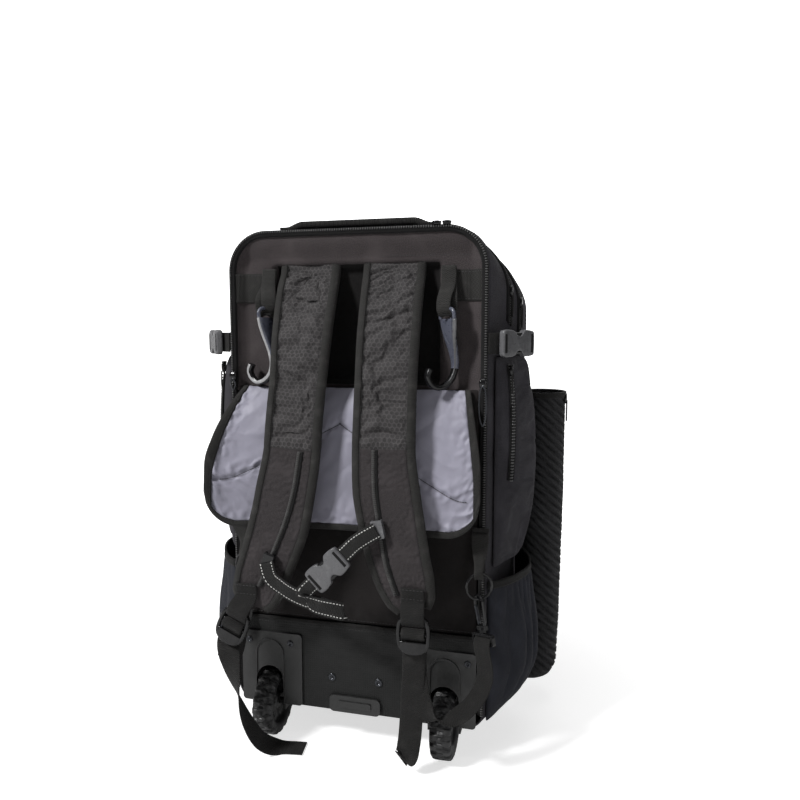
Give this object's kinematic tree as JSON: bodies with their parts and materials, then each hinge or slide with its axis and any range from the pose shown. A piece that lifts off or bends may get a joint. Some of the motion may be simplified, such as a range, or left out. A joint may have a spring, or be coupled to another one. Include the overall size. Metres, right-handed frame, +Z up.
{
  "type": "wheeled catcher bag",
  "caption": "Tall padded sports gear bag on wheels, with shoulder straps out of an open strap bay, fence hooks, side pockets and open bat sleeves.",
  "frame": {"origin": "middle of the footprint, on the floor", "axes": "+X right seen from the strap side, +Y from the straps into the bag, +Z up"},
  "size_m": [0.507, 0.3386, 0.6726],
  "materials": {
    "cloth": "black woven polyester",
    "side_cloth": "charcoal woven polyester",
    "lining": "silver-grey satin lining",
    "stretch": "blue-black stretch knit",
    "tape": "black webbing and grosgrain",
    "rubberised": "rubberised base cloth",
    "moulded": "dark grey moulded plastic",
    "hook_plastic": "blue-grey moulded plastic",
    "grey_plastic": "light grey moulded plastic",
    "black_plastic": "black moulded plastic",
    "gunmetal": "dark lacquered steel",
    "tyre": "black moulded tyre"
  },
  "bodies": {
    "bag": {"bay_panel": "cloth", "back_panel": "cloth", "shoulder_strap_left": "cloth", "shoulder_strap_right": "cloth", "body_shell": "side_cloth", "front_section": "side_cloth", "side_pocket_left": "side_cloth", "side_pocket_right": "side_cloth", "bay_flap": "lining", "bottle_pocket_left": "stretch", "bottle_pocket_right": "stretch", "bat_sleeve_left": "stretch", "bat_sleeve_right": "stretch", "bay_zip": "tape", "main_zip": "tape", "front_zip": "tape", "haul_handle": "tape", "flap_binding": "tape", "lock_tab_left": "tape", "lock_tab_right": "tape", "strap_webbing_left": "tape", "strap_webbing_right": "tape", "ring_tab_left": "tape", "ring_tab_right": "tape", "sternum_webbing_left": "tape", "sternum_webbing_right": "tape", "hook_webbing_left": "tape", "hook_webbing_right": "tape", "hook_band_left": "tape", "hook_band_right": "tape", "side_pocket_zip_left": "tape", "side_pocket_zip_right": "tape", "bottle_hem_left": "tape", "bottle_hem_right": "tape", "compression_webbing_left": "tape", "compression_webbing_right": "tape", "base_cover": "rubberised", "wheel_housing_left": "moulded", "wheel_housing_right": "moulded", "base_handle": "moulded", "front_skid": "moulded", "fence_hook_left": "hook_plastic", "fence_hook_right": "hook_plastic", "sternum_slider_left": "grey_plastic", "sternum_slider_right": "grey_plastic", "sternum_buckle": "grey_plastic", "compression_buckle_left": "grey_plastic", "compression_buckle_right": "grey_plastic", "bay_zip_pull_left": "black_plastic", "bay_zip_pull_right": "black_plastic", "ladder_lock_left": "black_plastic", "ladder_lock_right": "black_plastic", "snap_hook_left": "black_plastic", "snap_hook_right": "black_plastic", "side_ring_left": "gunmetal", "side_ring_right": "gunmetal"},
    "wheel_left": {"wheel_left": "tyre"},
    "wheel_right": {"wheel_right": "tyre"},
    "gate_left": {"snap_gate_left": "gunmetal"},
    "gate_right": {"snap_gate_right": "gunmetal"}
  },
  "joints": [
    {"name": "wheel_left_spin", "type": "hinge", "parent": "bag", "child": "wheel_left", "pos_m": [-0.117, -0.07874, 0.043], "axis": [1, 0, 0], "continuous": true},
    {"name": "wheel_right_spin", "type": "hinge", "parent": "bag", "child": "wheel_right", "pos_m": [0.117, -0.07874, 0.043], "axis": [1, 0, 0], "continuous": true},
    {"name": "gate_left_swing", "type": "hinge", "parent": "bag", "child": "gate_left", "pos_m": [-0.15468, -0.10319, 0.18759], "axis": [-0.6428, 0.766, 0], "range_deg": [0, 22], "stiffness_Nm_per_rad": 0.05, "springref_deg": -5.73},
    {"name": "gate_right_swing", "type": "hinge", "parent": "bag", "child": "gate_right", "pos_m": [0.16079, -0.0974, 0.18568], "axis": [0.6428, 0.766, 0], "range_deg": [0, 22], "stiffness_Nm_per_rad": 0.05, "springref_deg": -5.73}
  ]
}
